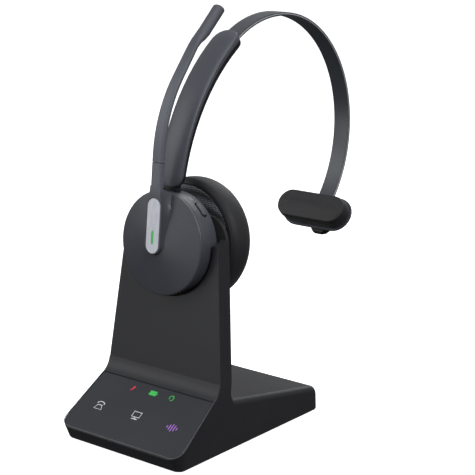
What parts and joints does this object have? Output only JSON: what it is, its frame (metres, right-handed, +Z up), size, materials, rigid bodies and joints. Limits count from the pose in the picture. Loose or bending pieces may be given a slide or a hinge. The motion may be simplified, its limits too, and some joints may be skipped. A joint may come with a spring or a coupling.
{
  "type": "office headset",
  "caption": "Mono wireless office headset with swinging microphone boom and sliding headband, docked in its desktop charging stand with a touch panel.",
  "frame": {"origin": "middle of the anti-slip pad's underside, on the desk", "axes": "+Z up; -Y towards the user and the touch panel; +Y towards the far end of the headband; +X to the right seen from behind, so the volume key is on the +X side"},
  "size_m": [0.0868, 0.2077, 0.2356],
  "materials": {
    "dock_plastic": "satin near-black moulded plastic",
    "touch_plastic": "fine satin touch cover",
    "liner_plastic": "matt black",
    "slate_plastic": "satin slate grey moulded plastic",
    "dark_plastic": "satin black moulded plastic",
    "brushed_silver": "fine brushed silver",
    "green_lens": "clear green lens",
    "black_leatherette": "fine-grained protein leatherette over foam",
    "ring_plastic": "satin grey plastic",
    "knit_mesh": "fine knit mesh bonded to a plastic baffle",
    "coated_steel": "dark satin coating on spring steel, bright at the edges",
    "steel": "plain steel",
    "gold_plate": "gold plate",
    "circuit_board": "solder mask",
    "battery_wrap": "foil pouch",
    "rubber": "matt rubber"
  },
  "bodies": {
    "dock": {"stand_shell": "dock_plastic", "rear_cover": "dock_plastic", "bottom_plate": "dock_plastic", "anti_slip_pad": "rubber", "touch_panel": "touch_plastic", "touch_sensor_board": "circuit_board", "cradle_liner": "liner_plastic", "charging_board": "circuit_board", "ballast_weight": "steel", "dock_board": "circuit_board", "usb_port_left": "steel", "usb_port_right": "steel", "screw_front_left": "steel", "screw_front_right": "steel", "screw_rear_left": "steel", "screw_rear_right": "steel"},
    "pin_left": {"charge_pin_left": "gold_plate"},
    "pin_right": {"charge_pin_right": "gold_plate"},
    "ear_cup": {"cup_housing": "slate_plastic", "cup_rear_cover": "dark_plastic", "headset_board": "circuit_board", "battery": "battery_wrap", "speaker_driver": "steel", "speaker_baffle": "knit_mesh", "cushion_ring": "ring_plastic", "driver_grille": "liner_plastic", "ear_cushion": "black_leatherette", "charge_contact_left": "gold_plate", "charge_contact_right": "gold_plate"},
    "boom": {"boom_cap": "slate_plastic", "boom_arm": "slate_plastic", "mic_tip": "slate_plastic", "boom_retainer": "steel"},
    "call_key": {"call_button": "brushed_silver", "light_line": "green_lens"},
    "volume_key": {"volume_rocker": "slate_plastic"},
    "stem": {"swivel_stem": "dark_plastic", "stem_clip": "steel"},
    "arm": {"sleeve_outer": "slate_plastic", "sleeve_inner": "dark_plastic", "tilt_pin": "steel"},
    "band": {"headband": "coated_steel", "rest_knuckle": "dark_plastic", "rest_pin": "steel"},
    "temple_rest": {"rest_plate": "slate_plastic", "rest_pad": "black_leatherette"}
  },
  "joints": [
    {"name": "headset_lift", "type": "slide", "parent": "dock", "child": "ear_cup", "axis": [0, 0.0985, 0.9951], "range_m": [0, 0.075]},
    {"name": "boom_swing", "type": "hinge", "parent": "ear_cup", "child": "boom", "pos_m": [0, -0.02669, 0.11125], "axis": [0, 0.9951, -0.0985], "range_deg": [-135, 135]},
    {"name": "call_press", "type": "slide", "parent": "boom", "child": "call_key", "axis": [0, 0.9951, -0.0985], "range_m": [0, 0.0005], "stiffness_N_per_m": 1500},
    {"name": "volume_rock", "type": "hinge", "parent": "ear_cup", "child": "volume_key", "pos_m": [0.01841, -0.01579, 0.13001], "axis": [0, 0.9951, -0.0985], "range_deg": [-2.5, 2.5], "stiffness_Nm_per_rad": 0.05},
    {"name": "pin_left_press", "type": "slide", "parent": "dock", "child": "pin_left", "axis": [0, -0.0985, -0.9951], "range_m": [0, 0.0008], "stiffness_N_per_m": 400},
    {"name": "pin_right_press", "type": "slide", "parent": "dock", "child": "pin_right", "axis": [0, -0.0985, -0.9951], "range_m": [0, 0.0008], "stiffness_N_per_m": 400},
    {"name": "arm_swivel", "type": "hinge", "parent": "ear_cup", "child": "stem", "pos_m": [0, -0.01637, 0.13837], "axis": [0, 0.0985, 0.9951], "range_deg": [-15, 15]},
    {"name": "arm_tilt", "type": "hinge", "parent": "stem", "child": "arm", "pos_m": [0, -0.01666, 0.14764], "axis": [1, 0, 0], "range_deg": [-6, 6]},
    {"name": "band_extend", "type": "hinge", "parent": "arm", "child": "band", "pos_m": [0, 0.0705, 0.1552], "axis": [-1, 0, 0], "range_deg": [0, 14]},
    {"name": "rest_tilt", "type": "hinge", "parent": "band", "child": "temple_rest", "pos_m": [0, 0.12128, 0.10097], "axis": [1, 0, 0], "range_deg": [-2, 12]}
  ]
}
